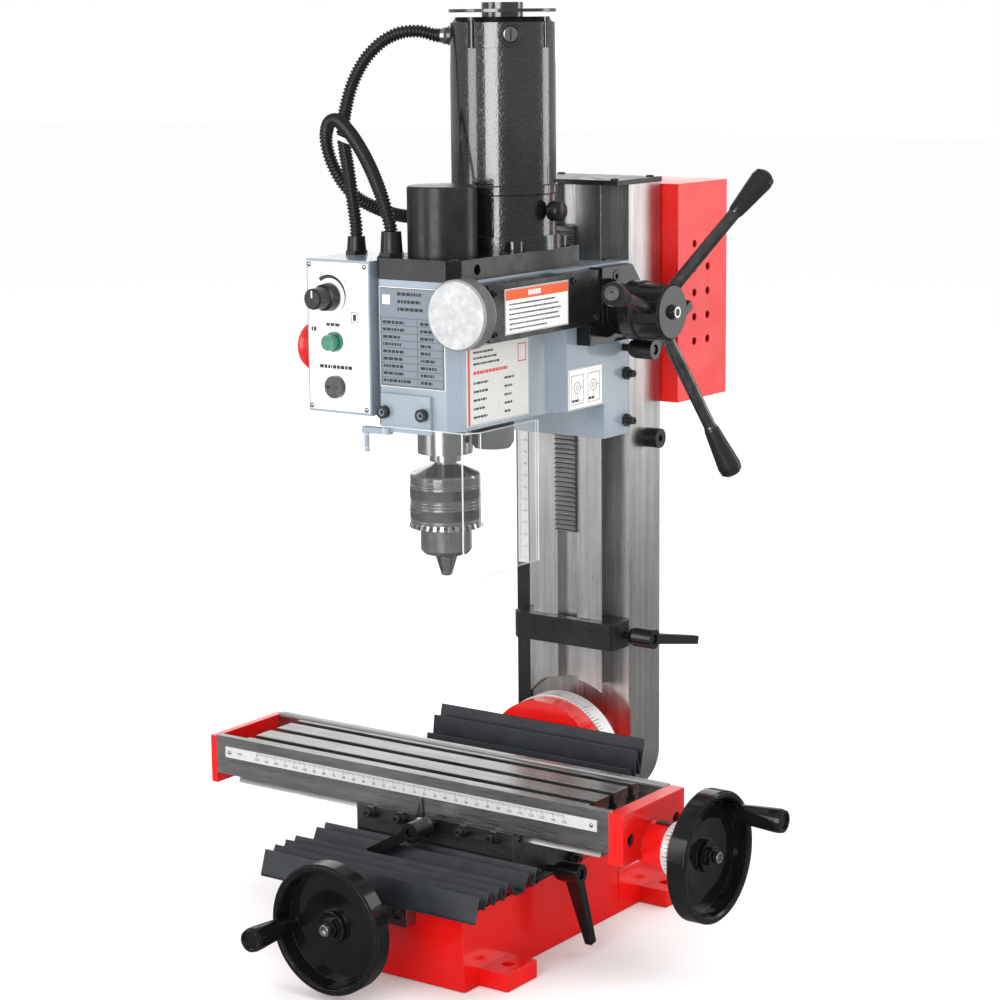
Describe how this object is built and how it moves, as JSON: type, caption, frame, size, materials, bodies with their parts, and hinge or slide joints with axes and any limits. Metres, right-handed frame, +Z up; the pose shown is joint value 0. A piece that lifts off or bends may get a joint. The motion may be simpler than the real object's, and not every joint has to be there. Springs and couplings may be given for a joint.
{
  "type": "benchtop milling machine",
  "caption": "Benchtop mill: geared head with capstan feed on a tilting dovetail column, over a compound T-slot table.",
  "frame": {"origin": "centre of the four foot holes, on the underside of the base", "axes": "+Z up along the column; the operator and the Y handwheel are at -Y, the X handwheel at +X"},
  "size_m": [0.5005, 0.5074, 0.727],
  "materials": {
    "red_paint": "glossy red enamel over cast iron",
    "red_sheet": "red enamelled sheet steel",
    "bluegray_paint": "smooth blue-grey enamel",
    "ground_iron": "ground cast iron",
    "machined_steel": "turned and ground steel",
    "black_metal": "satin black enamel or black oxide",
    "hammertone_black": "black hammered enamel",
    "black_plastic": "moulded black plastic",
    "arm_steel": "bright steel arms with black plastic tips",
    "knob_aluminium": "knurled satin aluminium",
    "bellows_rubber": "blue-black rubberised cloth",
    "bronze": "bronze nut",
    "white_dial": "engraved satin aluminium",
    "white_plate": "printed plate",
    "scale_black": "black anodised strip with white lines",
    "clear_guard": "clear polycarbonate",
    "panel_plastic": "green lamp, black fuse cap, yellow collar",
    "stop_red": "glossy red plastic"
  },
  "bodies": {
    "base": {"base_casting": "red_paint", "y_bearing_plate": "machined_steel", "tilt_scale": "white_dial", "tilt_bolt": "black_metal", "front_bellows": "bellows_rubber", "rear_bellows": "bellows_rubber"},
    "saddle": {"saddle": "ground_iron", "saddle_gibs": "machined_steel", "pointer": "machined_steel", "feed_nuts": "bronze"},
    "x_lock_lever": {"x_lock_lever": "black_metal"},
    "y_lock_lever": {"y_lock_lever": "black_metal"},
    "table": {"table": "ground_iron", "table_end_plate": "red_paint", "x_bracket": "red_paint", "x_scale": "white_plate", "table_screws": "black_metal"},
    "x_screw": {"x_leadscrew": "machined_steel", "x_dial": "white_dial", "x_handwheel": "black_metal"},
    "x_handle": {"x_handle": "black_plastic"},
    "y_screw": {"y_leadscrew": "machined_steel", "y_dial": "white_dial", "y_handwheel": "black_metal"},
    "y_handle": {"y_handle": "black_plastic"},
    "column": {"column": "ground_iron", "column_cap": "black_metal", "rack": "machined_steel", "z_scale": "scale_black", "electrics_box": "red_sheet", "column_screw": "black_plastic"},
    "depth_stop": {"depth_stop": "black_metal"},
    "stop_lever": {"stop_lever": "black_metal"},
    "head": {"head_casting": "bluegray_paint", "head_gib": "machined_steel", "top_plate": "black_metal", "spindle_cap": "black_metal", "motor_body": "hammertone_black", "motor_end_cap": "hammertone_black", "control_box": "bluegray_paint", "control_panel": "white_plate", "panel_fittings": "panel_plastic", "feed_cover": "black_metal", "feed_bracket": "black_metal", "hose_glands": "black_plastic", "motor_hose": "black_plastic", "supply_hose": "black_plastic", "guard_bracket": "bluegray_paint", "data_plates": "white_plate"},
    "guard": {"chuck_guard": "clear_guard"},
    "spindle": {"spindle": "machined_steel", "drill_chuck": "machined_steel"},
    "motor_rotor": {"motor_rotor": "machined_steel"},
    "idler_gear": {"idler_gear": "machined_steel"},
    "capstan": {"capstan_hub": "black_metal", "capstan_arms": "arm_steel"},
    "fine_feed_knob": {"fine_feed_knob": "knob_aluminium"},
    "head_lock_lever": {"head_lock_lever": "black_metal"},
    "speed_knob": {"speed_knob": "black_plastic"},
    "stop_button": {"stop_button": "stop_red"}
  },
  "joints": [
    {"name": "saddle_slide", "type": "slide", "parent": "base", "child": "saddle", "axis": [0, -1, 0], "range_m": [-0.04, 0.06], "deforming": ["front_bellows", "rear_bellows"]},
    {"name": "table_slide", "type": "slide", "parent": "saddle", "child": "table", "axis": [1, 0, 0], "range_m": [-0.084, 0.136]},
    {"name": "x_crank", "type": "hinge", "parent": "table", "child": "x_screw", "pos_m": [0.16, -0.0432, 0.104], "axis": [1, 0, 0], "range_deg": [-15200, 24600]},
    {"name": "x_handle_spin", "type": "hinge", "parent": "x_screw", "child": "x_handle", "pos_m": [0.25, -0.01515, 0.13109], "axis": [1, 0, 0], "continuous": true},
    {"name": "y_crank", "type": "hinge", "parent": "base", "child": "y_screw", "pos_m": [0, -0.17, 0.0555], "axis": [0, -1, 0], "range_deg": [-7300, 10900]},
    {"name": "y_handle_spin", "type": "hinge", "parent": "y_screw", "child": "y_handle", "pos_m": [-0.03879, -0.24, 0.05142], "axis": [0, -1, 0], "continuous": true},
    {"name": "x_lock_turn", "type": "hinge", "parent": "saddle", "child": "x_lock_lever", "pos_m": [0, -0.0874, 0.1017], "axis": [0, 1, 0], "range_deg": [0, 75]},
    {"name": "y_lock_turn", "type": "hinge", "parent": "saddle", "child": "y_lock_lever", "pos_m": [0.075, -0.038, 0.066], "axis": [1, 0, 0], "range_deg": [0, 60]},
    {"name": "column_tilt", "type": "hinge", "parent": "base", "child": "column", "pos_m": [0, 0.14, 0.112], "axis": [0, 1, 0], "range_deg": [-45, 45]},
    {"name": "head_slide", "type": "slide", "parent": "column", "child": "head", "axis": [0, 0, -1], "range_m": [-0.015, 0.135], "deforming": ["supply_hose"]},
    {"name": "capstan_turn", "type": "hinge", "parent": "head", "child": "capstan", "pos_m": [0.08, 0.08625, 0.489], "axis": [1, 0, 0], "range_deg": [-80, 690]},
    {"name": "fine_feed_turn", "type": "hinge", "parent": "head", "child": "fine_feed_knob", "pos_m": [0.052, -0.1, 0.503], "axis": [0, 1, 0], "range_deg": [-3700, 32600]},
    {"name": "spindle_spin", "type": "hinge", "parent": "head", "child": "spindle", "pos_m": [0, -0.065, 0.42], "axis": [0, 0, 1], "continuous": true},
    {"name": "idler_spin", "type": "hinge", "parent": "head", "child": "idler_gear", "pos_m": [0, -0.014, 0.5], "axis": [0, 0, 1], "continuous": true},
    {"name": "motor_spin", "type": "hinge", "parent": "head", "child": "motor_rotor", "pos_m": [0, 0.016, 0.6], "axis": [0, 0, 1], "continuous": true},
    {"name": "guard_swing", "type": "hinge", "parent": "head", "child": "guard", "pos_m": [-0.042, -0.1075, 0.4], "axis": [0, 0, -1], "range_deg": [0, 110]},
    {"name": "head_lock_turn", "type": "hinge", "parent": "head", "child": "head_lock_lever", "pos_m": [0.0496, 0.11, 0.455], "axis": [1, 0, 0], "range_deg": [-40, 30]},
    {"name": "speed_turn", "type": "hinge", "parent": "head", "child": "speed_knob", "pos_m": [-0.0768, -0.104, 0.5087], "axis": [0, 1, 0], "range_deg": [0, 280]},
    {"name": "stop_press", "type": "slide", "parent": "head", "child": "stop_button", "axis": [1, 0, 0], "range_m": [0, 0.004], "stiffness_N_per_m": 800},
    {"name": "depth_stop_slide", "type": "slide", "parent": "column", "child": "depth_stop", "axis": [0, 0, -1], "range_m": [0, 0.025]},
    {"name": "stop_lever_turn", "type": "hinge", "parent": "depth_stop", "child": "stop_lever", "pos_m": [0.05, 0.109, 0.219], "axis": [1, 0, 0], "range_deg": [0, 60]}
  ],
  "couplings": [
    {"joint": "x_crank", "follows": "table_slide", "rad_per_m": 3141.6},
    {"joint": "y_crank", "follows": "saddle_slide", "rad_per_m": 3141.6},
    {"joint": "capstan_turn", "follows": "head_slide", "rad_per_m": 88.889},
    {"joint": "fine_feed_turn", "follows": "head_slide", "rad_per_m": 4188.8},
    {"joint": "idler_spin", "follows": "spindle_spin", "ratio": -1.6154},
    {"joint": "motor_spin", "follows": "spindle_spin", "ratio": 3}
  ]
}
